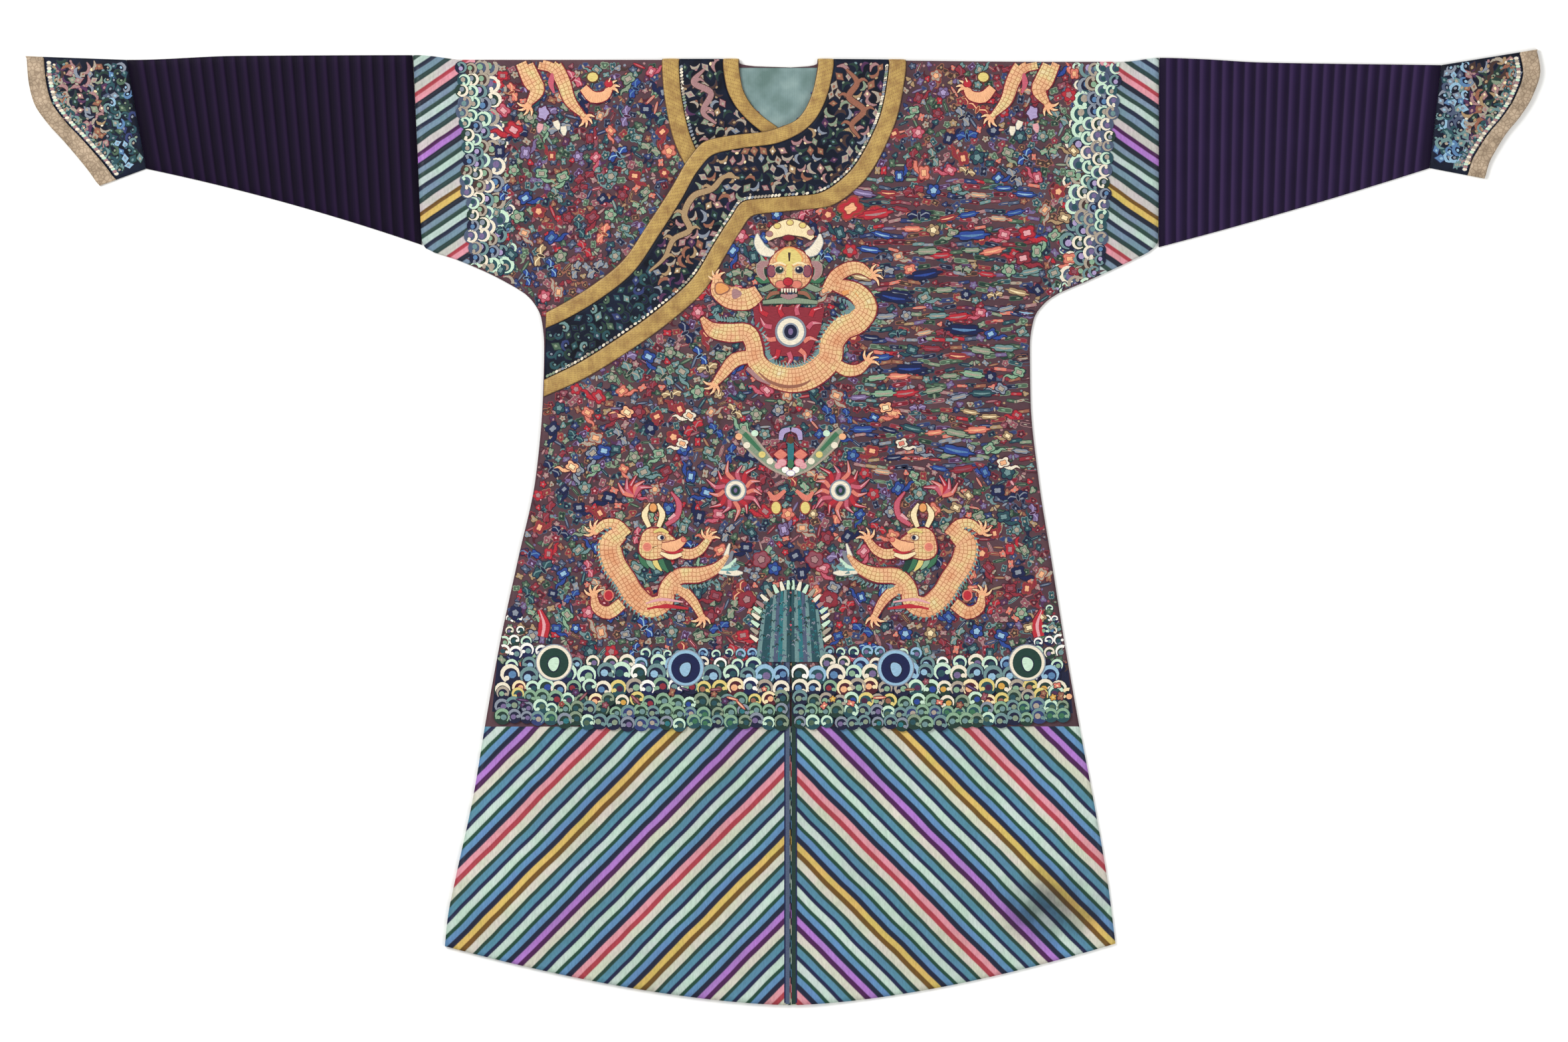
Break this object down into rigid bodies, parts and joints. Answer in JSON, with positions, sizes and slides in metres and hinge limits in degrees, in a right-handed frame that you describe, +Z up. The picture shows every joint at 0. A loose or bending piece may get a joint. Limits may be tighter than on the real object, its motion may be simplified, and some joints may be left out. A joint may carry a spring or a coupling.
{
  "type": "chinese dragon robe laid flat",
  "caption": "Lined silk dragon robe laid flat front up: two folded body widths, right-over overlap, faced collar, pleated sleeves and horse-hoof cuffs",
  "frame": {"origin": "on the surface the robe lies on, under the middle of its whole width and length", "axes": "+X towards the wearer's left sleeve, +Y towards the shoulders, +Z up out of the front"},
  "size_m": [2.2786, 1.4382, 0.015],
  "materials": {
    "body_silk": "brocaded silk, satin",
    "facing_silk": "embroidered silk, satin",
    "gold_brocade": "gold-thread brocade, satin",
    "sleeve_silk": "pleated plain silk, soft sheen",
    "lining_silk": "plain silk, soft sheen"
  },
  "bodies": {
    "root": {"body_left": "body_silk", "body_right": "body_silk", "front_overlap": "body_silk", "neck_lining": "lining_silk", "collar_facing_left": "facing_silk", "collar_facing_right": "facing_silk", "neck_binding_left": "gold_brocade", "neck_binding_right": "gold_brocade", "collar_band_left": "gold_brocade", "collar_band_right": "gold_brocade", "sleeve_left": "sleeve_silk", "sleeve_right": "sleeve_silk", "cuff_left": "facing_silk", "cuff_right": "facing_silk", "cuff_binding_left": "gold_brocade", "cuff_binding_right": "gold_brocade"}
  },
  "joints": []
}
